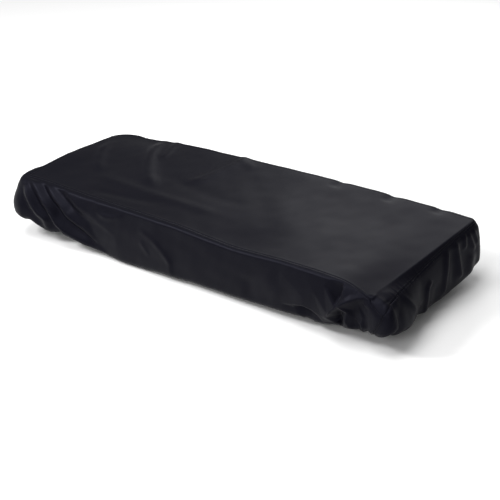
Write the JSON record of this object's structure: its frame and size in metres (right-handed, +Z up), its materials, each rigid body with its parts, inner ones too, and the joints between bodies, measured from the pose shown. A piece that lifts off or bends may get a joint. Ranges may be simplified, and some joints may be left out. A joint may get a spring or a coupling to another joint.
{
  "type": "piano cover",
  "caption": "Fitted dust cover of thin black cloth for a small electric piano: a box cap sewn from flat panels, with an elastic hem that rolls under the instrument.",
  "frame": {"origin": "middle of the top, on the underside of the cloth, where the piano holds the cover up", "axes": "+X along the cover, to the right of a player who stands in front of it; +Y from the front to the back; +Z up, out of the top"},
  "size_m": [1.1032, 0.4011, 0.1457],
  "materials": {
    "top_panel_cloth": "satin",
    "front_panel_cloth": "satin",
    "back_panel_cloth": "satin",
    "left_end_panel_cloth": "satin",
    "right_end_panel_cloth": "satin"
  },
  "bodies": {
    "root": {"top_panel": "top_panel_cloth", "front_panel": "front_panel_cloth", "back_panel": "back_panel_cloth", "left_end_panel": "left_end_panel_cloth", "right_end_panel": "right_end_panel_cloth"}
  },
  "joints": []
}
